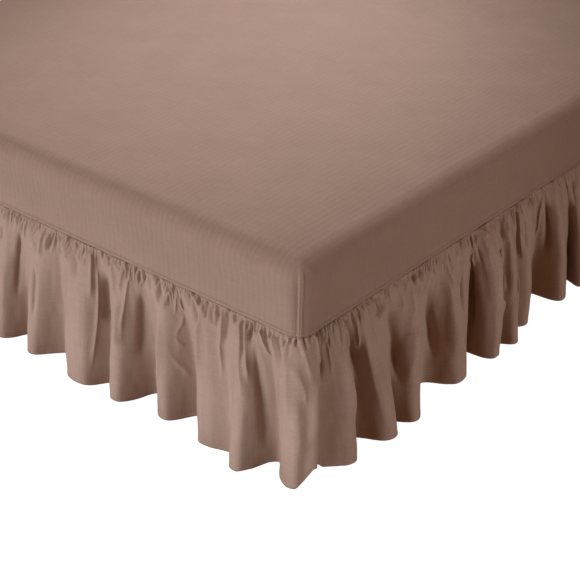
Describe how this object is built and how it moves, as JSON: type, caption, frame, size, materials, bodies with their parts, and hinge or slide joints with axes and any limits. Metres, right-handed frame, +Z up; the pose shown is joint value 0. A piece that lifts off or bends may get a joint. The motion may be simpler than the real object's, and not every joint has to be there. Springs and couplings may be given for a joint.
{
  "type": "bed skirt on a mattress and bed",
  "caption": "Fitted bed skirt in plain taupe cloth: a taut top and side band with raised corner seams and a deep gathered frill, dressed over a plain mattress and bed base.",
  "frame": {"origin": "on the floor under the middle of the bed, bottom centre of the whole object's box", "axes": "+X along the bed's 2.0 m length, +Y across its 1.8 m width, +Z up"},
  "size_m": [2.1845, 1.9908, 0.552],
  "materials": {
    "cover_cloth": "plain woven cotton, dyed taupe, matt",
    "frill_cloth": "plain woven cotton, dyed taupe, matt, gathered",
    "mattress_ticking": "plain ticking, matt",
    "base_cloth": "plain upholstery cloth, matt",
    "foot_wood": "stained, satin"
  },
  "bodies": {
    "root": {"fitted_cover": "cover_cloth", "frill_front": "frill_cloth", "frill_right": "frill_cloth", "frill_back": "frill_cloth", "frill_left": "frill_cloth", "mattress": "mattress_ticking", "bed_base": "base_cloth", "foot_1": "foot_wood", "foot_2": "foot_wood", "foot_3": "foot_wood", "foot_4": "foot_wood", "foot_5": "foot_wood", "foot_6": "foot_wood"}
  },
  "joints": []
}
